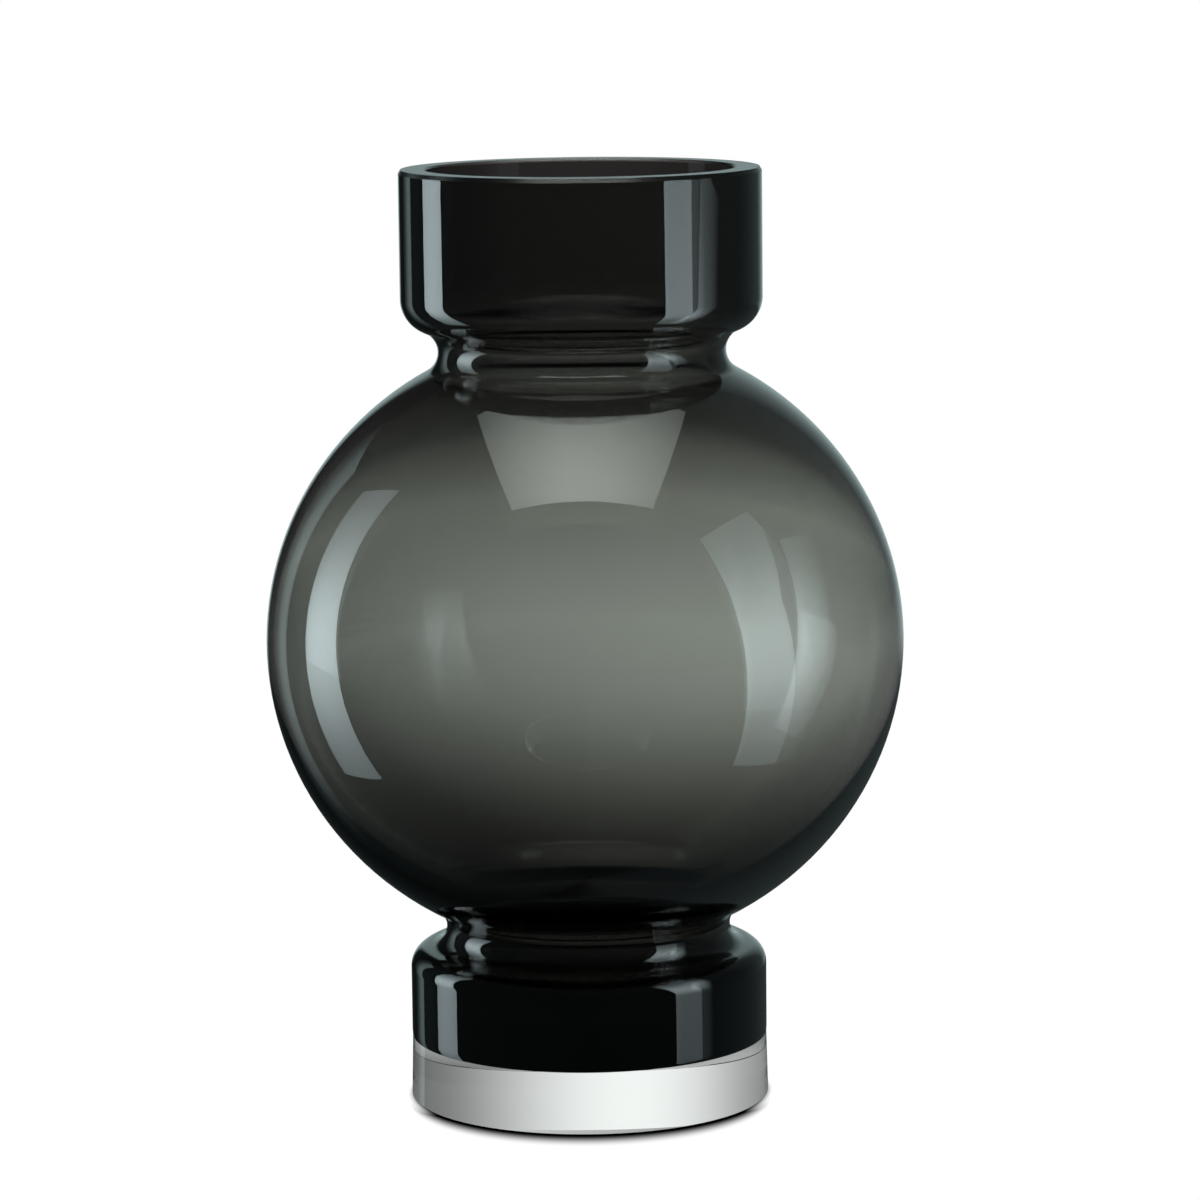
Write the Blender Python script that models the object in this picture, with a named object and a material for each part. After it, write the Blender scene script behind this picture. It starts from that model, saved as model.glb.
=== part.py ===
"""A globe vase in smoked glass, with a cylinder collar and a cylinder foot, fused onto a clear glass base.

Units are metres and +Z is up. The origin is the centre of the face that the vase stands on.
"""

import math

import bmesh
import bpy

# Clear base, a thick disc that is flush with the foot at its top and a little wider at the bottom
BASE_RADIUS = 0.0474
BASE_THICKNESS = 0.0160
BASE_EDGE_RADIUS = 0.0015

# Clearance left between the two fused faces
JOINT_GAP = 0.0003

# Foot of the smoked vessel, a thick-walled cylinder with a round shoulder and a hollow well
FOOT_RADIUS = 0.0471
FOOT_HEIGHT = 0.0290
FOOT_SHOULDER_RADIUS = 0.0055
FOOT_WALL = 0.0095
FOOT_FLOOR = 0.0070
WELL_CORNER_RADIUS = 0.0060
WELL_SHOULDER_RADIUS = 0.0040

# Waist, the narrow place between the foot and the globe
WAIST_RADIUS = 0.0375
WAIST_FILLET = 0.0054
WAIST_WALL = 0.0059

# Globe, a slightly flattened ball whose wall is thinnest at its widest place
GLOBE_RADIUS = 0.0836
GLOBE_HALF_HEIGHT = 0.0814
GLOBE_WALL = 0.0017

# Neck, the narrow place between the globe and the collar
NECK_RADIUS = 0.0376
NECK_FILLET = 0.0059
NECK_WALL = 0.0048

# Collar, an open cylinder with a round lower corner and a flat ground rim
COLLAR_RADIUS = 0.0472
COLLAR_HEIGHT = 0.0475
COLLAR_WALL = 0.0070
COLLAR_CORNER_RADIUS = 0.0090
BORE_CORNER_RADIUS = 0.0050
RIM_OUTER_CHAMFER = 0.0011
RIM_INNER_CHAMFER = 0.0005

# Glass colours, linear, and the steps of the turned surfaces
SMOKED_COLOUR = (0.19, 0.21, 0.19, 1.0)
CLEAR_COLOUR = (0.93, 0.96, 0.94, 1.0)
GLASS_ROUGHNESS = 0.02
SHARP_ANGLE = math.radians(30)
TURN_STEPS = 48
ARC_STEPS = 4
GLOBE_STEPS = 16

QUARTER_TURN = math.pi / 2
HALF_TURN = math.pi
FULL_TURN = math.pi * 2


def solve(rising, low, high):
    """The place between low and high where a rising function passes zero, found by halving."""
    for _ in range(60):
        middle = (low + high) / 2
        if rising(middle) > 0:
            high = middle
        else:
            low = middle
    return middle


def beside_ellipse(radius, half_height, angle, distance):
    """A point at a distance outside an ellipse. The angle is measured from the top of its axis."""
    normal_x = half_height * math.sin(angle)
    normal_z = radius * math.cos(angle)
    share = distance / math.hypot(normal_x, normal_z)
    return radius * math.sin(angle) + share * normal_x, half_height * math.cos(angle) + share * normal_z


def touch_angle(radius, half_height, arc_radius, arc_x):
    """Where an arc whose centre is at arc_x touches the ellipse from outside, near its top."""
    return solve(
        lambda angle: beside_ellipse(radius, half_height, angle, arc_radius)[0] - arc_x, 0.0, QUARTER_TURN
    )


def touch_height(radius, half_height, arc_radius, arc_x):
    """Height of that arc's centre above the middle of the ellipse."""
    angle = touch_angle(radius, half_height, arc_radius, arc_x)
    return beside_ellipse(radius, half_height, angle, arc_radius)[1]


def touching_half_height(radius, arc_radius, arc_x, arc_height):
    """Half height of the ellipse that touches an arc whose centre is known."""
    return solve(
        lambda half: touch_height(radius, half, arc_radius, arc_x) - arc_height, radius / 2, radius * 2
    )


def angle_to(start, end):
    """Angle of the line from one point to another, from 0 to a full turn."""
    return math.atan2(end[1] - start[1], end[0] - start[0]) % FULL_TURN


def arc(centre, radius, start, end):
    """Points on an arc from one angle to another, both measured from +X."""
    angles = [start + (end - start) * step / ARC_STEPS for step in range(ARC_STEPS + 1)]
    return [(centre[0] + radius * math.cos(angle), centre[1] + radius * math.sin(angle)) for angle in angles]


def corner_beside(x, other, distance, side):
    """Centre at x of a corner that runs into the arc round another centre, and the angle from it to that one.

    The corner is above the other arc for side 1, and below it for side -1.
    """
    across = min(max(other[0] - x, 0.0), distance)
    rise = side * math.sqrt(distance ** 2 - across ** 2)
    return (x, other[1] + rise), math.atan2(-rise, across) % FULL_TURN


def globe_section(radius, upper_half, lower_half, middle, upper, lower):
    """Points down a globe's side between two angles from the top of its axis."""
    points = []
    for step in range(GLOBE_STEPS + 1):
        angle = upper + (lower - upper) * step / GLOBE_STEPS
        half = upper_half if angle < QUARTER_TURN else lower_half
        points.append((radius * math.sin(angle), middle + half * math.cos(angle)))
    return points


def vessel_inside(waist, neck, middle, rim_height):
    """Inside of the vessel, from the middle of the foot's floor up to the rim."""
    waist_arc = WAIST_FILLET + WAIST_WALL
    well_radius = FOOT_RADIUS - FOOT_WALL
    well_x = well_radius - WELL_SHOULDER_RADIUS
    shoulder, shoulder_angle = corner_beside(well_x, waist, WELL_SHOULDER_RADIUS + waist_arc, -1)
    floor_radius = min(WELL_CORNER_RADIUS, shoulder[1] - FOOT_FLOOR)
    floor_corner = (well_radius - floor_radius, FOOT_FLOOR + floor_radius)

    radius = GLOBE_RADIUS - GLOBE_WALL
    neck_arc = NECK_FILLET + NECK_WALL
    upper_half = touching_half_height(radius, neck_arc, neck[0], neck[1] - middle)
    lower_half = touching_half_height(radius, waist_arc, waist[0], middle - waist[1])
    upper = touch_angle(radius, upper_half, neck_arc, neck[0])
    lower = HALF_TURN - touch_angle(radius, lower_half, waist_arc, waist[0])
    globe = globe_section(radius, upper_half, lower_half, middle, upper, lower)

    bore_radius = COLLAR_RADIUS - COLLAR_WALL
    bore_x = bore_radius - BORE_CORNER_RADIUS
    bore_corner, bore_angle = corner_beside(bore_x, neck, BORE_CORNER_RADIUS + neck_arc, 1)

    points = [(0.0, FOOT_FLOOR)]
    points += arc(floor_corner, floor_radius, -QUARTER_TURN, 0.0)
    points += arc(shoulder, WELL_SHOULDER_RADIUS, 0.0, shoulder_angle)
    points += arc(waist, waist_arc, shoulder_angle + HALF_TURN, angle_to(waist, globe[-1]))
    points += reversed(globe)
    points += arc(neck, neck_arc, angle_to(neck, globe[0]), bore_angle - HALF_TURN)
    points += arc(bore_corner, BORE_CORNER_RADIUS, bore_angle, FULL_TURN)
    points.append((bore_radius, rim_height - RIM_INNER_CHAMFER))
    points.append((bore_radius + RIM_INNER_CHAMFER, rim_height))
    return points


def vessel_outside(waist, neck, middle, rim_height):
    """Outside of the vessel, from the rim down to the middle of the foot's underside."""
    collar_x = COLLAR_RADIUS - COLLAR_CORNER_RADIUS
    corner, corner_angle = corner_beside(collar_x, neck, COLLAR_CORNER_RADIUS + NECK_FILLET, 1)

    upper = touch_angle(GLOBE_RADIUS, GLOBE_HALF_HEIGHT, NECK_FILLET, neck[0])
    lower = HALF_TURN - touch_angle(GLOBE_RADIUS, GLOBE_HALF_HEIGHT, WAIST_FILLET, waist[0])
    globe = globe_section(GLOBE_RADIUS, GLOBE_HALF_HEIGHT, GLOBE_HALF_HEIGHT, middle, upper, lower)

    shoulder_x = FOOT_RADIUS - FOOT_SHOULDER_RADIUS
    shoulder, shoulder_angle = corner_beside(shoulder_x, waist, FOOT_SHOULDER_RADIUS + WAIST_FILLET, -1)

    points = [(COLLAR_RADIUS - RIM_OUTER_CHAMFER, rim_height)]
    points.append((COLLAR_RADIUS, rim_height - RIM_OUTER_CHAMFER))
    points += arc(corner, COLLAR_CORNER_RADIUS, FULL_TURN, corner_angle)
    points += arc(neck, NECK_FILLET, corner_angle - HALF_TURN, angle_to(neck, globe[0]))
    points += globe
    points += arc(waist, WAIST_FILLET, angle_to(waist, globe[-1]), shoulder_angle + HALF_TURN)
    points += arc(shoulder, FOOT_SHOULDER_RADIUS, shoulder_angle, 0.0)
    points += [(FOOT_RADIUS, 0.0), (0.0, 0.0)]
    return points


def vessel_outline():
    """Half section of the vessel, up its inside and down its outside, with the foot's underside at height 0.

    The waist and the neck are the centres of the hollow arcs outside the narrow places.
    """
    waist = (WAIST_RADIUS + WAIST_FILLET, FOOT_HEIGHT)
    middle = waist[1] + touch_height(GLOBE_RADIUS, GLOBE_HALF_HEIGHT, WAIST_FILLET, waist[0])
    neck_x = NECK_RADIUS + NECK_FILLET
    neck = (neck_x, middle + touch_height(GLOBE_RADIUS, GLOBE_HALF_HEIGHT, NECK_FILLET, neck_x))
    rim_height = neck[1] + COLLAR_HEIGHT
    return vessel_inside(waist, neck, middle, rim_height) + vessel_outside(waist, neck, middle, rim_height)


def base_outline():
    """Half section of the base, from the middle of its top down its side to the middle of its underside."""
    edge = (BASE_RADIUS - BASE_EDGE_RADIUS, BASE_EDGE_RADIUS)
    points = [(0.0, BASE_THICKNESS), (FOOT_RADIUS, BASE_THICKNESS)]
    points += arc(edge, BASE_EDGE_RADIUS, 0.0, -QUARTER_TURN)
    points.append((0.0, 0.0))
    return points


def glass(name, colour):
    """A smooth, see-through glass of one colour."""
    material = bpy.data.materials.new(name)
    material.use_nodes = True
    shader = material.node_tree.nodes["Principled BSDF"]
    shader.inputs["Base Color"].default_value = colour
    shader.inputs["Metallic"].default_value = 0.0
    shader.inputs["Roughness"].default_value = GLASS_ROUGHNESS
    shader.inputs["Transmission Weight"].default_value = 1.0
    return material


def turned(name, outline, material, parent, height):
    """An object turned about the Z axis from a half section, with the section's zero at the given height."""
    shape = bmesh.new()
    verts = [shape.verts.new((x, 0.0, z)) for x, z in outline]
    edges = [shape.edges.new(pair) for pair in zip(verts, verts[1:])]
    bmesh.ops.spin(
        shape, geom=verts + edges, axis=(0, 0, 1), cent=(0, 0, 0), angle=FULL_TURN, steps=TURN_STEPS, use_merge=True
    )
    bmesh.ops.remove_doubles(shape, verts=shape.verts, dist=1e-6)
    bmesh.ops.recalc_face_normals(shape, faces=shape.faces)
    mesh = bpy.data.meshes.new(name)
    shape.to_mesh(mesh)
    shape.free()
    mesh.shade_smooth()
    mesh.set_sharp_from_angle(angle=SHARP_ANGLE)
    mesh.materials.append(material)
    piece = bpy.data.objects.new(name, mesh)
    bpy.context.scene.collection.objects.link(piece)
    piece.parent = parent
    piece.location = (0.0, 0.0, height)
    return piece


for old in list(bpy.data.objects):
    bpy.data.objects.remove(old, do_unlink=True)

vase = bpy.data.objects.new("vase", None)
bpy.context.scene.collection.objects.link(vase)
turned("clear_base", base_outline(), glass("clear_glass", CLEAR_COLOUR), vase, 0.0)
turned("smoked_vessel", vessel_outline(), glass("smoked_glass", SMOKED_COLOUR), vase, BASE_THICKNESS + JOINT_GAP)
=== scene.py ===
import math

import bmesh
import bpy
from mathutils import Matrix, Vector, noise


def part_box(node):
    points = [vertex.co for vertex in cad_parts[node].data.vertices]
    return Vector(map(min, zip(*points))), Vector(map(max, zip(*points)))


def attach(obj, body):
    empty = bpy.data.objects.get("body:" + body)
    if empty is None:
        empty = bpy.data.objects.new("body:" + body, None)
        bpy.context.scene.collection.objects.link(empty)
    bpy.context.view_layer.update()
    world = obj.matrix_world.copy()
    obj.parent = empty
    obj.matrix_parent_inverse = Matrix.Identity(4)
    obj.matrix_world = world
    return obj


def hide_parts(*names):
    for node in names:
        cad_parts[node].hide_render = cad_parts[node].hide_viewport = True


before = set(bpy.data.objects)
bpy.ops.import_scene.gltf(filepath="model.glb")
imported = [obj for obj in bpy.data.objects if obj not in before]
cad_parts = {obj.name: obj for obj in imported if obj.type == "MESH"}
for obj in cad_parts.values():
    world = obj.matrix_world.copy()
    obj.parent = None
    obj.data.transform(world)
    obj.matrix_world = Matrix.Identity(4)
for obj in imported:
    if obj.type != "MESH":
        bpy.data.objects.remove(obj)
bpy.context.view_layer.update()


# Clear base. A thick disc of colourless soda-lime glass, pressed while hot and fused under the smoked foot.
# Its side is fire-polished and widens a little downwards, and its underside is ground flat to a fine arris.
base_top_radius = 0.0470
base_arris = 0.00012
joint_gap = 0.00002
turn_steps = 192
same_place = 1e-7
sharp_angle = math.radians(28)

base_low, base_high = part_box("clear_base")
vessel_low, vessel_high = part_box("smoked_vessel")
base_radius = base_high.x
seam_height = (base_high.z + vessel_low.z) / 2


def corner_point(section, x, z):
    """Adds one point to a half section, as a stretch of its own."""
    point = section.verts.new((x, 0.0, z))
    return point, point


def turn(section, stretches):
    """Joins the stretches of a half section in order and turns it about the Z axis into a closed body."""
    for stretch, following in zip(stretches, stretches[1:]):
        section.edges.new((stretch[1], following[0]))
    bmesh.ops.remove_doubles(section, verts=section.verts, dist=same_place)
    bmesh.ops.spin(
        section, geom=section.verts[:] + section.edges[:], cent=(0, 0, 0), axis=(0, 0, 1),
        angle=math.tau, steps=turn_steps, use_merge=True,
    )
    bmesh.ops.remove_doubles(section, verts=section.verts, dist=same_place)
    bmesh.ops.recalc_face_normals(section, faces=section.faces)


def finish_piece(section, name, material):
    """Makes the object from its mesh, smooth where it is round and crisp at its ground edges."""
    mesh = bpy.data.meshes.new(name)
    section.to_mesh(mesh)
    section.free()
    mesh.shade_smooth()
    mesh.set_sharp_from_angle(angle=sharp_angle)
    mesh.materials.append(material)
    piece = bpy.data.objects.new(name, mesh)
    bpy.context.scene.collection.objects.link(piece)
    shading = piece.modifiers.new("flat walls keep their normals", "WEIGHTED_NORMAL")
    shading.keep_sharp = True
    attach(piece, "root")
    return piece


def linear(hex_colour):
    """Linear colour with full alpha from an sRGB hex value."""
    parts = [int(hex_colour[place:place + 2], 16) / 255 for place in (1, 3, 5)]
    return tuple(p / 12.92 if p <= 0.04045 else ((p + 0.055) / 1.055) ** 2.4 for p in parts) + (1.0,)


def add_node(tree, kind, settings=None, inputs=None, stops=()):
    """Adds a node with its settings, its inputs set or linked, and the grey stops of a ramp.

    An input is given by its name, or by its number where names repeat. A new ramp has two stops already, so
    only the others are added.
    """
    made = tree.nodes.new(kind)
    for name, value in (settings or {}).items():
        setattr(made, name, value)
    for place, level in stops[2:]:
        made.color_ramp.elements.new(place)
    for number, (place, level) in enumerate(stops):
        made.color_ramp.elements[number].position = place
        made.color_ramp.elements[number].color = (level, level, level, 1.0)
    for name, value in (inputs or {}).items():
        if isinstance(value, bpy.types.NodeSocket):
            tree.links.new(value, made.inputs[name])
        else:
            made.inputs[name].default_value = value
    return made


def start_material(name):
    """An empty node material."""
    material = bpy.data.materials.new(name)
    material.use_nodes = True
    material.node_tree.nodes.clear()
    return material, material.node_tree


# Clear soda-lime glass: it takes almost nothing from the light, and turns it faintly green over a long way.
# Its upper face mirrors the floor behind the vase, so the disc looks white under the black foot.
glass_ior = 1.5
clear_tint = "#B4D6C4"
clear_tint_density = 1.8

clear_glass, tree = start_material("clear soda-lime glass")
shader = add_node(tree, "ShaderNodeBsdfPrincipled", None, {
    "Base Color": linear("#FFFFFF"),
    "Roughness": 0.0,
    "IOR": glass_ior,
    "Transmission Weight": 1.0,
})
tint = add_node(tree, "ShaderNodeVolumeAbsorption", None, {
    "Color": linear(clear_tint),
    "Density": clear_tint_density,
})
add_node(tree, "ShaderNodeOutputMaterial", None, {
    "Surface": shader.outputs["BSDF"],
    "Volume": tint.outputs["Volume"],
})

section = bmesh.new()
top = seam_height - joint_gap / 2
turn(section, [
    corner_point(section, 0.0, top),
    corner_point(section, base_top_radius, top),
    corner_point(section, base_radius, base_low.z + base_arris),
    corner_point(section, base_radius - base_arris, base_low.z),
    corner_point(section, 0.0, base_low.z),
])
base = finish_piece(section, "clear_base_disc", clear_glass)
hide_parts("clear_base")


# Smoked vessel. One bubble of smoked grey soda-lime glass, blown as foot, waist, globe, neck and collar.
# Its walls are thick at the narrow places and thin at the globe's middle. The rim is cut and ground flat.
foot_radius = 0.0471
foot_height = 0.0290
foot_hem_radius = 0.0120
foot_shoulder_radius = 0.0055
foot_wall = 0.0095
foot_floor = 0.0070
well_corner_radius = 0.0060
well_shoulder_radius = 0.0040
waist_radius = 0.0375
waist_fillet = 0.0054
waist_wall = 0.0059
globe_radius = vessel_high.x
globe_half_height = 0.0814
globe_wall = 0.0017
neck_radius = 0.0376
neck_fillet = 0.0059
neck_wall = 0.0048
collar_radius = 0.0472
collar_wall = 0.0070
collar_corner_radius = 0.0090
bore_corner_radius = 0.0050
rim_height = vessel_high.z
rim_chamfer_width = 0.0006
rim_chamfer_height = 0.0011
rim_inner_chamfer = 0.0005
wave_size = 0.032
wave_depth = 0.000015
arc_step = math.radians(2.5)
fewest_arc_steps = 4
halvings = 60


def swing(section, centre, radius, start, end):
    """Adds an arc to a half section, as a point swung about a centre. Angles are measured from +X."""
    x = centre[0] + radius * math.cos(start)
    z = centre[1] + radius * math.sin(start)
    first = section.verts.new((x, 0.0, z))
    swung = bmesh.ops.spin(
        section, geom=[first], cent=(centre[0], 0.0, centre[1]), axis=(0, 1, 0), angle=start - end,
        steps=max(fewest_arc_steps, math.ceil(abs(end - start) / arc_step)),
    )
    last = [item for item in swung["geom_last"] if isinstance(item, bmesh.types.BMVert)][0]
    return first, last


def solve(rising, low, high):
    """The place between low and high where a rising function passes zero, found by halving."""
    for _ in range(halvings):
        middle = (low + high) / 2
        if rising(middle) > 0:
            high = middle
        else:
            low = middle
    return middle


def beside_ellipse(radius, half_height, angle, distance):
    """A point at a distance outside an ellipse. The angle is measured from the top of its axis."""
    normal_x = half_height * math.sin(angle)
    normal_z = radius * math.cos(angle)
    share = distance / math.hypot(normal_x, normal_z)
    return radius * math.sin(angle) + share * normal_x, half_height * math.cos(angle) + share * normal_z


def touch_angle(radius, half_height, arc_radius, arc_x):
    """Where an arc whose centre is at arc_x touches the ellipse from outside, near its top."""
    return solve(
        lambda angle: beside_ellipse(radius, half_height, angle, arc_radius)[0] - arc_x, 0.0, math.pi / 2
    )


def touch_height(radius, half_height, arc_radius, arc_x):
    """Height of that arc's centre above the middle of the ellipse."""
    angle = touch_angle(radius, half_height, arc_radius, arc_x)
    return beside_ellipse(radius, half_height, angle, arc_radius)[1]


def touching_half_height(radius, arc_radius, arc_x, arc_height):
    """Half height of the ellipse that touches an arc whose centre is known."""
    return solve(
        lambda half: touch_height(radius, half, arc_radius, arc_x) - arc_height, radius / 2, radius * 2
    )


def corner_beside(x, other, distance, side):
    """Centre at x of a corner that runs into the arc round another centre, and the angle to that centre.

    The corner is above the other arc for side 1, and below it for side -1.
    """
    across = other[0] - x
    rise = side * math.sqrt(distance ** 2 - across ** 2)
    return (x, other[1] + rise), math.atan2(-rise, across) % math.tau


def swing_globe(section, radius, half_height, middle, start, end):
    """Adds a stretch of an ellipse to a half section. Angles are measured from the top of its axis."""
    before = len(section.verts)
    stretch = swing(section, (0.0, middle), radius, math.pi / 2 - start, math.pi / 2 - end)
    section.verts.ensure_lookup_table()
    squeeze = (1.0, 1.0, half_height / radius)
    to_middle = Matrix.Translation((0.0, 0.0, -middle))
    bmesh.ops.scale(section, vec=squeeze, space=to_middle, verts=section.verts[before:])
    return stretch


def ripple(section, lowest, highest):
    """Moves the points of the blown faces in and out by the faint waves that blowing leaves in them."""
    section.normal_update()
    for vert in section.verts:
        inside = min(vert.co.z - lowest, highest - vert.co.z) / wave_size
        share = min(max(inside, 0.0), 1.0)
        vert.co += vert.normal * wave_depth * share * noise.noise(vert.co / wave_size)


def mark_faces(section, name, lowest, highest):
    """Marks the faces that lie between two heights, for a material to read."""
    layer = section.faces.layers.float.new(name)
    for face in section.faces:
        heights = [vert.co.z for vert in face.verts]
        if lowest < min(heights) and max(heights) < highest:
            face[layer] = 1.0


def angle_to(centre, vert):
    """Angle of the line from a centre to a point of a half section, from 0 to a full turn."""
    return math.atan2(vert.co.z - centre[1], vert.co.x - centre[0]) % math.tau


# Smoked soda-lime glass: grey through and through, so thick walls go black and thin ones stay clear.
# Blowing leaves the faintest waves in the fire-polished faces, and the ground rim keeps a fine matt grain.
smoke_tint = "#B0ADAC"
smoke_density = 650.0
ground_roughness = 0.24

smoked_glass, tree = start_material("smoked soda-lime glass")
ground = add_node(tree, "ShaderNodeAttribute", {"attribute_name": "ground"})
roughness = add_node(tree, "ShaderNodeMath", {"operation": "MULTIPLY"}, {
    0: ground.outputs["Fac"], 1: ground_roughness,
})
shader = add_node(tree, "ShaderNodeBsdfPrincipled", None, {
    "Base Color": linear("#FFFFFF"),
    "Roughness": roughness.outputs["Value"],
    "IOR": glass_ior,
    "Transmission Weight": 1.0,
})
tint = add_node(tree, "ShaderNodeVolumeAbsorption", None, {
    "Color": linear(smoke_tint),
    "Density": smoke_density,
})
add_node(tree, "ShaderNodeOutputMaterial", None, {
    "Surface": shader.outputs["BSDF"],
    "Volume": tint.outputs["Volume"],
})

section = bmesh.new()
underside = seam_height + joint_gap / 2
waist = (waist_radius + waist_fillet, vessel_low.z + foot_height)
middle = waist[1] + touch_height(globe_radius, globe_half_height, waist_fillet, waist[0])
neck_x = neck_radius + neck_fillet
neck = (neck_x, middle + touch_height(globe_radius, globe_half_height, neck_fillet, neck_x))

waist_throat = waist_fillet + waist_wall
well_radius = foot_radius - foot_wall
floor_height = vessel_low.z + foot_floor
well_corner = (well_radius - well_corner_radius, floor_height + well_corner_radius)
well_x = well_radius - well_shoulder_radius
well_shoulder, well_turn = corner_beside(well_x, waist, well_shoulder_radius + waist_throat, -1)

hollow_radius = globe_radius - globe_wall
neck_throat = neck_fillet + neck_wall
hollow_upper = touching_half_height(hollow_radius, neck_throat, neck[0], neck[1] - middle)
hollow_lower = touching_half_height(hollow_radius, waist_throat, waist[0], middle - waist[1])
hollow_top = touch_angle(hollow_radius, hollow_upper, neck_throat, neck[0])
hollow_bottom = math.pi - touch_angle(hollow_radius, hollow_lower, waist_throat, waist[0])
lower_hollow = swing_globe(section, hollow_radius, hollow_lower, middle, hollow_bottom, math.pi / 2)
upper_hollow = swing_globe(section, hollow_radius, hollow_upper, middle, math.pi / 2, hollow_top)

bore_radius = collar_radius - collar_wall
bore_x = bore_radius - bore_corner_radius
bore_corner, bore_turn = corner_beside(bore_x, neck, bore_corner_radius + neck_throat, 1)
collar_x = collar_radius - collar_corner_radius
collar_corner, collar_turn = corner_beside(collar_x, neck, collar_corner_radius + neck_fillet, 1)

globe_top = touch_angle(globe_radius, globe_half_height, neck_fillet, neck[0])
globe_bottom = math.pi - touch_angle(globe_radius, globe_half_height, waist_fillet, waist[0])
globe = swing_globe(section, globe_radius, globe_half_height, middle, globe_top, globe_bottom)

shoulder_x = foot_radius - foot_shoulder_radius
shoulder, shoulder_turn = corner_beside(shoulder_x, waist, foot_shoulder_radius + waist_fillet, -1)
hem_turn = math.acos(1 - (foot_radius - base_top_radius) / foot_hem_radius)
hem_height = underside + foot_hem_radius * math.sin(hem_turn)

turn(section, [
    corner_point(section, 0.0, floor_height),
    swing(section, well_corner, well_corner_radius, -math.pi / 2, 0.0),
    swing(section, well_shoulder, well_shoulder_radius, 0.0, well_turn),
    swing(section, waist, waist_throat, well_turn + math.pi, angle_to(waist, lower_hollow[0])),
    lower_hollow,
    upper_hollow,
    swing(section, neck, neck_throat, angle_to(neck, upper_hollow[1]), bore_turn - math.pi),
    swing(section, bore_corner, bore_corner_radius, bore_turn, math.tau),
    corner_point(section, bore_radius, rim_height - rim_inner_chamfer),
    corner_point(section, bore_radius + rim_inner_chamfer, rim_height),
    corner_point(section, collar_radius - rim_chamfer_width, rim_height),
    corner_point(section, collar_radius, rim_height - rim_chamfer_height),
    swing(section, collar_corner, collar_corner_radius, math.tau, collar_turn),
    swing(section, neck, neck_fillet, collar_turn - math.pi, angle_to(neck, globe[0])),
    globe,
    swing(section, waist, waist_fillet, angle_to(waist, globe[1]), shoulder_turn + math.pi),
    swing(section, shoulder, foot_shoulder_radius, shoulder_turn, 0.0),
    swing(section, (foot_radius - foot_hem_radius, hem_height), foot_hem_radius, 0.0, -hem_turn),
    corner_point(section, 0.0, underside),
])
ripple(section, waist[1] + waist_throat, neck[1] - neck_throat)
mark_faces(section, "ground", rim_height - rim_chamfer_height - same_place, rim_height + same_place)
vessel = finish_piece(section, "smoked_globe_vessel", smoked_glass)
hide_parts("smoked_vessel")


# Camera. It stands a little above the rim and looks down at the whole vase through a long lens, as for a
# product photograph. Its focal length and sensor width are in millimetres.
camera_place = (0.004, -1.2436, 0.320)
camera_pitch = math.radians(8.61)
camera_roll = math.radians(-0.63)
focal_length = 143.64
sensor_width = 36.0

lens = bpy.data.cameras.new("camera")
lens.lens = focal_length
lens.sensor_width = sensor_width
camera = bpy.data.objects.new("camera", lens)
aim = Matrix.Rotation(math.pi / 2 - camera_pitch, 4, "X") @ Matrix.Rotation(camera_roll, 4, "Z")
camera.matrix_world = Matrix.Translation(camera_place) @ aim
bpy.context.scene.collection.objects.link(camera)
bpy.context.scene.camera = camera


# Softboxes. Upright strips stand left and right of the vase, with a fainter panel beside the right one, and
# a wide softbox hangs over it. They light the vessel only. The overhead one is hidden from light that comes
# up out of the bowl or has crossed more than one wall.
strip_light = "#E8FBFF"
top_light = "#F5FFF7"
widens_from = 0.6
bowl_distance = 0.45
faces_to_enter = 0.5
faces_of_one_wall = 2.5
lit_by_softboxes = bpy.data.collections.new("lit by softboxes")
lit_by_softboxes.objects.link(vessel)


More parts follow.
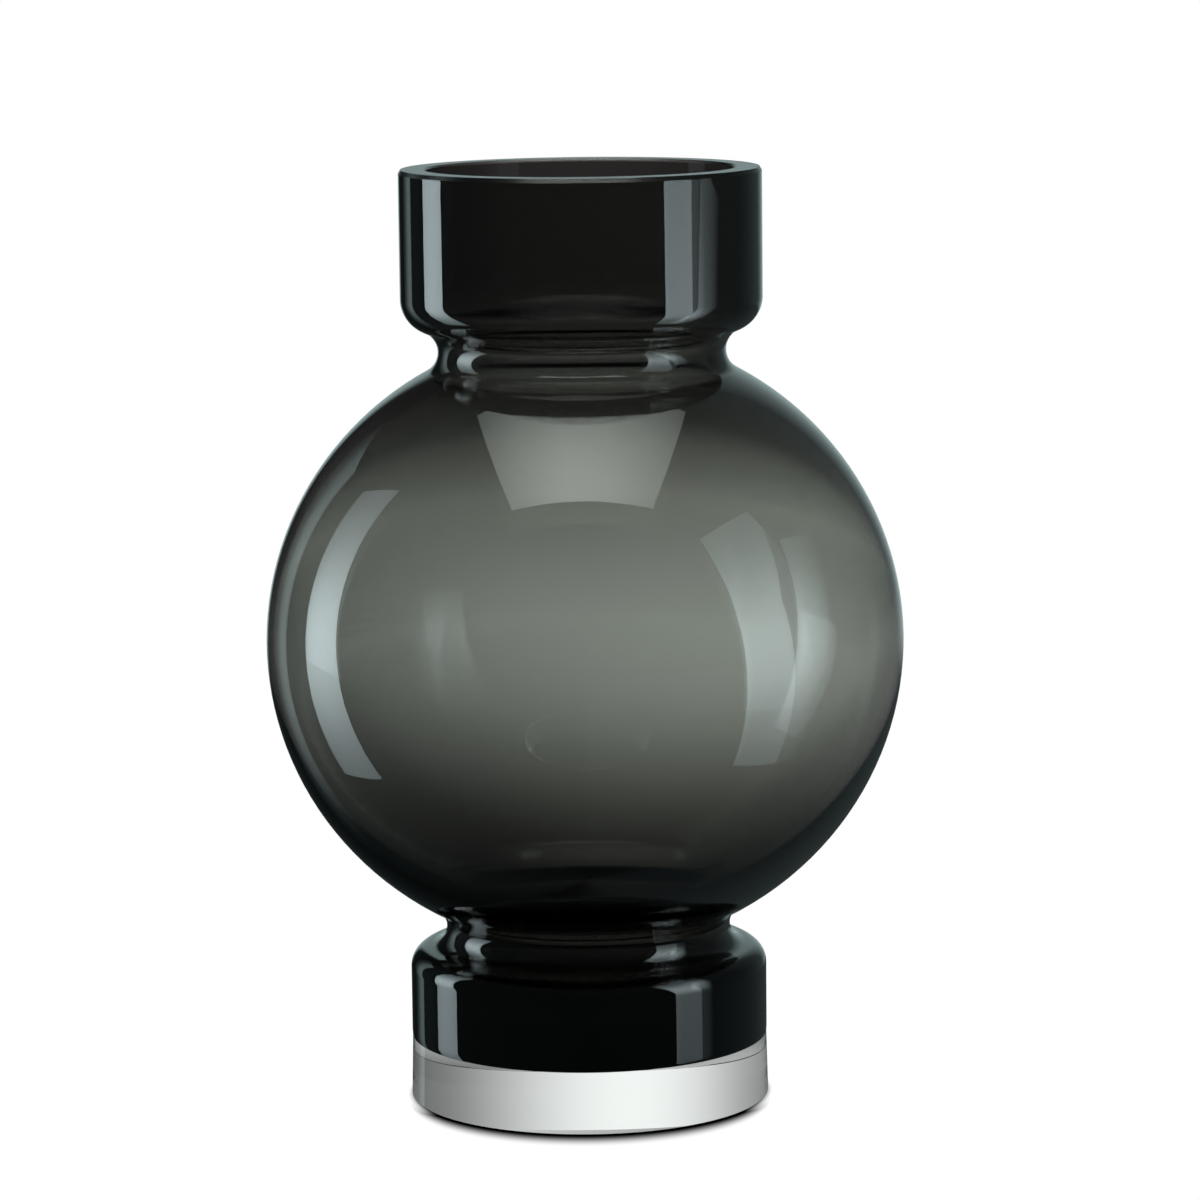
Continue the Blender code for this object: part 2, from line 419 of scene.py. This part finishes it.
def softbox(name, place, facing, lean, size, radiance, colour, across, glow, widening=0.0):
    """Hangs a rectangular softbox that faces one way and leans by an angle about that way.

    The stops say how bright it is across its width, and the widening how far they move outwards towards the
    top. The glow is a place and a spread, in shares of the height, and an end level: the light swells
    towards that place and falls to the end level away from it.
    """
    width, height = size
    glow_place, glow_spread, end_level = glow
    lamp = bpy.data.lights.new(name, "AREA")
    lamp.shape = "RECTANGLE"
    lamp.size = width
    lamp.size_y = height
    lamp.color = linear(colour)[:3]
    lamp.energy = radiance * math.pi * width * height
    lamp.use_nodes = True
    box = bpy.data.objects.new(name, lamp)
    box.light_linking.receiver_collection = lit_by_softboxes
    turned = Vector(facing).to_track_quat("-Z", "Y").to_matrix().to_4x4()
    box.matrix_world = Matrix.Translation(place) @ turned @ Matrix.Rotation(lean, 4, "Z")
    box.visible_camera = False
    bpy.context.scene.collection.objects.link(box)
    tree = lamp.node_tree
    tree.nodes.clear()
    spot = add_node(tree, "ShaderNodeNewGeometry")
    spot = add_node(tree, "ShaderNodeSeparateXYZ", None, {"Vector": spot.outputs["Parametric"]})
    upper = add_node(tree, "ShaderNodeMath", {"operation": "SUBTRACT", "use_clamp": True}, {
        0: spot.outputs["Y"], 1: widens_from,
    })
    moved = add_node(tree, "ShaderNodeMath", {"operation": "MULTIPLY_ADD"}, {
        0: upper.outputs["Value"], 1: -widening, 2: spot.outputs["X"],
    })
    ramp = add_node(tree, "ShaderNodeValToRGB", None, {"Fac": moved.outputs["Value"]}, across)
    away = add_node(tree, "ShaderNodeMath", {"operation": "SUBTRACT"}, {0: spot.outputs["Y"], 1: glow_place})
    away = add_node(tree, "ShaderNodeMath", {"operation": "DIVIDE"}, {
        0: away.outputs["Value"], 1: glow_spread,
    })
    square = add_node(tree, "ShaderNodeMath", {"operation": "POWER"}, {0: away.outputs["Value"], 1: 2.0})
    falling = add_node(tree, "ShaderNodeMath", {"operation": "MULTIPLY"}, {
        0: square.outputs["Value"], 1: -0.5,
    })
    bell = add_node(tree, "ShaderNodeMath", {"operation": "EXPONENT"}, {0: falling.outputs["Value"]})
    swell = add_node(tree, "ShaderNodeMath", {"operation": "MULTIPLY_ADD"}, {
        0: bell.outputs["Value"], 1: 1.0 - end_level, 2: end_level,
    })
    strength = add_node(tree, "ShaderNodeMath", {"operation": "MULTIPLY"}, {
        0: ramp.outputs["Color"], 1: swell.outputs["Value"],
    })
    light = add_node(tree, "ShaderNodeEmission", None, {"Strength": strength.outputs["Value"]})
    add_node(tree, "ShaderNodeOutputLight", None, {"Surface": light.outputs["Emission"]})
    return tree, strength.outputs["Value"], light.inputs["Strength"]


softbox(
    name="left_softbox",
    place=(-0.836, 0.255, 0.1735),
    facing=(0.906, 0.424, 0.0),
    lean=math.radians(8),
    size=(0.40, 1.185),
    radiance=5.2,
    colour=strip_light,
    across=((0.0, 0.72), (0.1, 0.78), (0.5, 1.0), (0.75, 1.06), (1.0, 1.06)),
    glow=(0.446, 0.180, 0.22),
)
softbox(
    name="right_softbox",
    place=(0.333, -0.149, 0.158),
    facing=(-0.898, 0.440, 0.0),
    lean=math.radians(5),
    size=(0.1835, 0.545),
    radiance=4.3,
    colour=strip_light,
    across=((0.0, 1.15), (0.07, 1.15), (0.08, 1.0), (0.65, 0.95), (0.66, 0.27), (0.85, 0.18), (1.0, 0.0)),
    glow=(0.48, 0.178, 0.22),
    widening=1.2,
)
softbox(
    name="right_panel",
    place=(0.206, -0.057, 0.1335),
    facing=(-0.989, 0.149, 0.0),
    lean=math.radians(-14),
    size=(0.057, 0.205),
    radiance=3.5,
    colour=strip_light,
    across=((0.0, 0.95), (0.2, 1.0), (0.44, 0.70), (0.67, 0.46), (1.0, 0.0)),
    glow=(0.49, 0.20, 0.22),
)
tree, strength, shining = softbox(
    name="top_softbox",
    place=(-0.003, -0.074, 0.520),
    facing=(0.0, 0.0, -1.0),
    lean=0.0,
    size=(0.362, 0.366),
    radiance=4.8,
    colour=top_light,
    across=((0.0, 0.45), (0.2, 0.75), (0.42, 1.0), (0.62, 0.93), (0.82, 0.7), (1.0, 0.45)),
    glow=(0.3, 0.45, 0.15),
)
path = add_node(tree, "ShaderNodeLightPath")
entered = add_node(tree, "ShaderNodeMath", {"operation": "GREATER_THAN"}, {
    0: path.outputs["Transmission Depth"], 1: faces_to_enter,
})
from_below = add_node(tree, "ShaderNodeMath", {"operation": "GREATER_THAN"}, {
    0: path.outputs["Ray Length"], 1: bowl_distance,
})
from_bowl = add_node(tree, "ShaderNodeMath", {"operation": "MULTIPLY"}, {
    0: entered.outputs["Value"], 1: from_below.outputs["Value"],
})
deep = add_node(tree, "ShaderNodeMath", {"operation": "GREATER_THAN"}, {
    0: path.outputs["Transmission Depth"], 1: faces_of_one_wall,
})
hidden = add_node(tree, "ShaderNodeMath", {"operation": "MAXIMUM"}, {
    0: from_bowl.outputs["Value"], 1: deep.outputs["Value"],
})
shown = add_node(tree, "ShaderNodeMath", {"operation": "SUBTRACT"}, {0: 1.0, 1: hidden.outputs["Value"]})
dimmed = add_node(tree, "ShaderNodeMath", {"operation": "MULTIPLY"}, {
    0: strength, 1: shown.outputs["Value"],
})
tree.links.new(dimmed.outputs["Value"], shining)


# Floor. A wide pale studio floor that glows plain white, with a painted contact shadow thrown forwards on
# it.
# Seen through the glass it is brighter to the right and has painted shade beside the base. Reflections look
# past it, so that the softboxes show down to their lower ends.
floor_radius = 3.4
floor_segments = 96
floor_drop = 0.0002
# The contact shadow is painted into the floor's glow. These say how far it reaches, and how it thins at the
# sides and behind.
contact_reach = 0.0012
contact_samples = 16
shadow_core = 0.0009
shadow_ahead = 0.0117
shadow_thins_from = 0.040
shadow_thins_to = 0.0485
shadow_starts = -0.002
shadow_is_full = -0.012
near_floor = 1.02
far_floor = 0.28
floor_fades_from = 0.85
near_floor_stops = (
    (-180.0, 0.4), (-16.0, 0.36), (-13.0, 0.4), (-9.5, 0.56), (-6.7, 0.66), (-3.1, 0.81), (0.5, 0.93),
    (5.0, 1.06), (10.5, 1.15), (13.0, 1.2), (16.5, 0.95), (180.0, 0.7),
)
# Painted shade: the floor seen through the glass glows dimmer near the base, in place of the vase's shadow.
painted_shade_from = 0.05
painted_shade_to = 0.20
painted_shade_level = 0.42
globe_horizon_stops = ((-180.0, 1.0), (-6.0, 1.25), (0.0, 1.4), (5.0, 1.9), (9.0, 2.0), (180.0, 1.0))
floor_tint = "#EEFFF1"


def by_azimuth(stops):
    """Stops of a ramp that runs once round the horizon, from stops in degrees to the right of +Y."""
    return [(degrees / 360 + 0.5, level) for degrees, level in stops]


section = bmesh.new()
bmesh.ops.create_circle(section, cap_ends=True, radius=floor_radius, segments=floor_segments)
bmesh.ops.translate(section, vec=(0.0, 0.0, base_low.z - floor_drop), verts=section.verts)
mesh = bpy.data.meshes.new("floor")
section.to_mesh(mesh)
section.free()
floor = bpy.data.objects.new("floor", mesh)
bpy.context.scene.collection.objects.link(floor)

pale_floor, tree = start_material("pale studio floor")
path = add_node(tree, "ShaderNodeLightPath")
place = add_node(tree, "ShaderNodeTexCoord")
side = add_node(tree, "ShaderNodeSeparateXYZ", None, {"Vector": place.outputs["Object"]})
square = add_node(tree, "ShaderNodeMath", {"operation": "POWER"}, {0: side.outputs["X"], 1: 2.0})
under = add_node(tree, "ShaderNodeMath", {"operation": "SUBTRACT"}, {
    0: base_radius ** 2, 1: square.outputs["Value"],
})
under = add_node(tree, "ShaderNodeMath", {"operation": "MAXIMUM"}, {0: under.outputs["Value"], 1: 0.0})
edge = add_node(tree, "ShaderNodeMath", {"operation": "SQRT"}, {0: under.outputs["Value"]})
ahead = add_node(tree, "ShaderNodeMath", {"operation": "ADD"}, {
    0: side.outputs["Y"], 1: edge.outputs["Value"],
})
# Painted shadow: a shape drawn by position darkens the floor from the base's front edge forwards.
painted_shadow_shape = add_node(tree, "ShaderNodeMapRange", {"interpolation_type": "SMOOTHSTEP"}, {
    "Value": ahead.outputs["Value"], "From Min": -shadow_core, "From Max": -shadow_ahead,
})
across = add_node(tree, "ShaderNodeMath", {"operation": "ABSOLUTE"}, {0: side.outputs["X"]})
beside = add_node(tree, "ShaderNodeMapRange", {"interpolation_type": "SMOOTHSTEP"}, {
    "Value": across.outputs["Value"], "From Min": shadow_thins_from, "From Max": shadow_thins_to,
})
painted_shadow_shape = add_node(tree, "ShaderNodeMath", {"operation": "MAXIMUM"}, {
    0: painted_shadow_shape.outputs["Result"], 1: beside.outputs["Result"],
})
behind = add_node(tree, "ShaderNodeMapRange", {"interpolation_type": "SMOOTHSTEP"}, {
    "Value": side.outputs["Y"], "From Min": shadow_is_full, "From Max": shadow_starts,
})
painted_shadow_shape = add_node(tree, "ShaderNodeMath", {"operation": "MAXIMUM"}, {
    0: painted_shadow_shape.outputs["Value"], 1: behind.outputs["Result"],
})
# Painted contact shade: ambient occlusion darkens the floor's glow where the base meets it.
contact = add_node(tree, "ShaderNodeAmbientOcclusion", {"samples": contact_samples}, {
    "Distance": contact_reach,
})
shadow = add_node(tree, "ShaderNodeMath", {"operation": "MULTIPLY"}, {
    0: painted_shadow_shape.outputs["Value"], 1: contact.outputs["AO"],
})
away = add_node(tree, "ShaderNodeVectorMath", {"operation": "LENGTH"}, {0: place.outputs["Object"]})
deep = add_node(tree, "ShaderNodeMath", {"operation": "GREATER_THAN"}, {
    0: path.outputs["Transmission Depth"], 1: faces_of_one_wall,
})
azimuth = add_node(tree, "ShaderNodeMath", {"operation": "ARCTAN2"}, {
    0: side.outputs["X"], 1: side.outputs["Y"],
})
share = add_node(tree, "ShaderNodeMapRange", None, {
    "Value": azimuth.outputs["Value"], "From Min": -math.pi, "From Max": math.pi,
})
globe_horizon = add_node(
    tree, "ShaderNodeValToRGB", None, {"Fac": share.outputs["Result"]}, by_azimuth(globe_horizon_stops)
)
near = add_node(
    tree, "ShaderNodeValToRGB", None, {"Fac": share.outputs["Result"]}, by_azimuth(near_floor_stops)
)
# Painted shade of the vase on the floor close round the base, as seen through the glass.
shade = add_node(tree, "ShaderNodeMapRange", {"interpolation_type": "SMOOTHSTEP"}, {
    "Value": away.outputs["Value"],
    "From Min": painted_shade_from,
    "From Max": painted_shade_to,
    "To Min": near_floor * painted_shade_level,
    "To Max": near_floor,
})
near = add_node(tree, "ShaderNodeMath", {"operation": "MULTIPLY"}, {
    0: near.outputs["Color"], 1: shade.outputs["Result"],
})
far = add_node(tree, "ShaderNodeMix", {"data_type": "FLOAT"}, {
    "Factor": deep.outputs["Value"], 2: far_floor, 3: globe_horizon.outputs["Color"],
})
fading = add_node(tree, "ShaderNodeMapRange", {"interpolation_type": "SMOOTHSTEP"}, {
    "Value": away.outputs["Value"], "From Min": floor_fades_from, "From Max": floor_radius,
})
in_glass = add_node(tree, "ShaderNodeMix", {"data_type": "FLOAT"}, {
    "Factor": fading.outputs["Result"],
    2: near.outputs["Value"],
    3: far.outputs["Result"],
})
level = add_node(tree, "ShaderNodeMix", {"data_type": "FLOAT"}, {
    "Factor": path.outputs["Is Camera Ray"],
    2: in_glass.outputs["Result"],
    3: shadow.outputs["Value"],
})
colour = add_node(tree, "ShaderNodeMix", {"data_type": "RGBA"}, {
    "Factor": deep.outputs["Value"],
    6: linear("#FFFFFF"),
    7: linear(floor_tint),
})
glow = add_node(tree, "ShaderNodeEmission", None, {
    "Color": colour.outputs[2],
    "Strength": level.outputs["Result"],
})
nothing = add_node(tree, "ShaderNodeBsdfTransparent")
surface = add_node(tree, "ShaderNodeMixShader", None, {
    0: path.outputs["Is Reflection Ray"], 1: glow.outputs["Emission"], 2: nothing.outputs["BSDF"],
})
add_node(tree, "ShaderNodeOutputMaterial", None, {"Surface": surface.outputs["Shader"]})
floor.data.materials.append(pale_floor)


# World. A dark studio round a white backdrop: the camera sees plain white, and reflections see the dark room
# with a dim backdrop and a pale card at the back left. Light through the glass comes from the backdrop's
# upper part, and light that has crossed both walls sees the horizon at the level of the far floor.
horizon_level = 0.28
horizon_dips_from = math.sin(math.radians(0.5))
horizon_dips_to = math.sin(math.radians(4.5))
horizon_dip = 0.5
glow_starts = math.sin(math.radians(3))
glow_is_full = math.sin(math.radians(13))
glow_sinks_from = math.sin(math.radians(42))
glow_ends = math.sin(math.radians(58))
glow_end_level = 0.1
back_glow_turn = math.radians(8)
back_glow_sharpness = 8.4
back_glow_level = 0.74
side_glow_level = 0.28
side_glow_tilt = -0.12
white_level = 1.0
room_tint = "#E4FFFF"
card_top = math.sin(math.radians(23.5))
card_foot = math.sin(math.radians(-38))
card_is_full = math.sin(math.radians(-6))
card_stops = (
    (-180.0, 0.0), (-44.2, 0.0), (-44.0, 0.58), (-41.0, 0.56), (-37.0, 0.36), (-34.0, 0.12), (-28.0, 0.0),
    (180.0, 0.0),
)
backdrop_foot = math.sin(math.radians(-11))
backdrop_start = math.sin(math.radians(-8))
backdrop_stops = (
    (-180.0, 0.0), (-16.0, 0.0), (-12.0, 0.48), (12.0, 0.48), (28.0, 0.05), (60.0, 0.0), (180.0, 0.0),
)
room_stops = (
    (-180.0, 0.04), (-56.0, 0.06), (-46.0, 0.045), (-30.0, 0.015), (-16.0, 0.02), (30.0, 0.08), (85.0, 0.09),
    (110.0, 0.05), (180.0, 0.04),
)

world = bpy.data.worlds.new("studio")
world.use_nodes = True
tree = world.node_tree
tree.nodes.clear()
place = add_node(tree, "ShaderNodeTexCoord")
way = add_node(tree, "ShaderNodeSeparateXYZ", None, {"Vector": place.outputs["Generated"]})
azimuth = add_node(tree, "ShaderNodeMath", {"operation": "ARCTAN2"}, {
    0: way.outputs["X"], 1: way.outputs["Y"],
})
share = add_node(tree, "ShaderNodeMapRange", None, {
    "Value": azimuth.outputs["Value"], "From Min": -math.pi, "From Max": math.pi,
})
card = add_node(tree, "ShaderNodeValToRGB", None, {"Fac": share.outputs["Result"]}, by_azimuth(card_stops))
on_card = add_node(tree, "ShaderNodeMath", {"operation": "LESS_THAN"}, {0: way.outputs["Z"], 1: card_top})
card_fades = add_node(tree, "ShaderNodeMapRange", {"interpolation_type": "SMOOTHSTEP"}, {
    "Value": way.outputs["Z"], "From Min": card_foot, "From Max": card_is_full,
})
on_card = add_node(tree, "ShaderNodeMath", {"operation": "MULTIPLY"}, {
    0: on_card.outputs["Value"], 1: card_fades.outputs["Result"],
})
backdrop = add_node(
    tree, "ShaderNodeValToRGB", None, {"Fac": share.outputs["Result"]}, by_azimuth(backdrop_stops)
)
above_table = add_node(tree, "ShaderNodeMapRange", {"interpolation_type": "SMOOTHSTEP"}, {
    "Value": way.outputs["Z"], "From Min": backdrop_foot, "From Max": backdrop_start,
})
sinking = add_node(tree, "ShaderNodeMapRange", {"interpolation_type": "SMOOTHSTEP"}, {
    "Value": way.outputs["Z"], "From Min": glow_sinks_from, "From Max": glow_ends, "To Min": 1.0,
    "To Max": glow_end_level,
})
backdrop = add_node(tree, "ShaderNodeMath", {"operation": "MULTIPLY"}, {
    0: backdrop.outputs["Color"], 1: sinking.outputs["Result"],
})
room = add_node(tree, "ShaderNodeValToRGB", None, {"Fac": share.outputs["Result"]}, by_azimuth(room_stops))
room = add_node(tree, "ShaderNodeMath", {"operation": "MULTIPLY_ADD"}, {
    0: backdrop.outputs["Value"], 1: above_table.outputs["Result"], 2: room.outputs["Color"],
})
room = add_node(tree, "ShaderNodeMath", {"operation": "MULTIPLY_ADD"}, {
    0: card.outputs["Color"], 1: on_card.outputs["Value"], 2: room.outputs["Value"],
})
turned = add_node(tree, "ShaderNodeMath", {"operation": "ADD"}, {
    0: azimuth.outputs["Value"], 1: back_glow_turn,
})
facing = add_node(tree, "ShaderNodeMath", {"operation": "COSINE"}, {0: turned.outputs["Value"]})
falling = add_node(tree, "ShaderNodeMath", {"operation": "MULTIPLY_ADD"}, {
    0: facing.outputs["Value"], 1: back_glow_sharpness, 2: -back_glow_sharpness,
})
lobe = add_node(tree, "ShaderNodeMath", {"operation": "EXPONENT"}, {0: falling.outputs["Value"]})
sides = add_node(tree, "ShaderNodeMath", {"operation": "MULTIPLY_ADD"}, {
    0: way.outputs["X"], 1: side_glow_tilt, 2: side_glow_level,
})
back_glow = add_node(tree, "ShaderNodeMath", {"operation": "MULTIPLY_ADD"}, {
    0: lobe.outputs["Value"], 1: back_glow_level, 2: sides.outputs["Value"],
})
back_glow = add_node(tree, "ShaderNodeMath", {"operation": "MULTIPLY"}, {
    0: back_glow.outputs["Value"], 1: sinking.outputs["Result"],
})
rising = add_node(tree, "ShaderNodeMapRange", {"interpolation_type": "SMOOTHSTEP"}, {
    "Value": way.outputs["Z"], "From Min": glow_starts, "From Max": glow_is_full,
})
path = add_node(tree, "ShaderNodeLightPath")
deep = add_node(tree, "ShaderNodeMath", {"operation": "GREATER_THAN"}, {
    0: path.outputs["Transmission Depth"], 1: faces_of_one_wall,
})
globe_horizon = add_node(
    tree, "ShaderNodeValToRGB", None, {"Fac": share.outputs["Result"]}, by_azimuth(globe_horizon_stops)
)
dip = add_node(tree, "ShaderNodeMapRange", {"interpolation_type": "SMOOTHSTEP"}, {
    "Value": way.outputs["Z"], "From Min": horizon_dips_from, "From Max": horizon_dips_to, "To Min": 1.0,
    "To Max": horizon_dip,
})
globe_horizon = add_node(tree, "ShaderNodeMath", {"operation": "MULTIPLY"}, {
    0: globe_horizon.outputs["Color"], 1: dip.outputs["Result"],
})
horizon = add_node(tree, "ShaderNodeMix", {"data_type": "FLOAT"}, {
    "Factor": deep.outputs["Value"], 2: horizon_level, 3: globe_horizon.outputs["Value"],
})
in_glass = add_node(tree, "ShaderNodeMix", {"data_type": "FLOAT"}, {
    "Factor": rising.outputs["Result"],
    2: horizon.outputs["Result"],
    3: back_glow.outputs["Value"],
})
seen_in_glass = add_node(tree, "ShaderNodeMix", {"data_type": "FLOAT"}, {
    "Factor": path.outputs["Is Transmission Ray"],
    2: room.outputs["Value"],
    3: in_glass.outputs["Result"],
})
seen = add_node(tree, "ShaderNodeMix", {"data_type": "FLOAT"}, {
    "Factor": path.outputs["Is Camera Ray"],
    2: seen_in_glass.outputs["Result"],
    3: white_level,
})
colour = add_node(tree, "ShaderNodeMix", {"data_type": "RGBA"}, {
    "Factor": path.outputs["Is Reflection Ray"],
    6: linear("#FFFFFF"),
    7: linear(room_tint),
})
colour = add_node(tree, "ShaderNodeMix", {"data_type": "RGBA"}, {
    "Factor": deep.outputs["Value"],
    6: colour.outputs[2],
    7: linear(floor_tint),
})
background = add_node(tree, "ShaderNodeBackground", None, {
    "Color": colour.outputs[2],
    "Strength": seen.outputs["Result"],
})
add_node(tree, "ShaderNodeOutputWorld", None, {"Surface": background.outputs["Background"]})
bpy.context.scene.world = world

# Light passes many glass faces on its way through the vase, so paths are allowed to be long.
bpy.context.scene.cycles.max_bounces = 32
bpy.context.scene.cycles.glossy_bounces = 24
bpy.context.scene.cycles.transmission_bounces = 32
bpy.context.scene.view_settings.view_transform = "Standard"
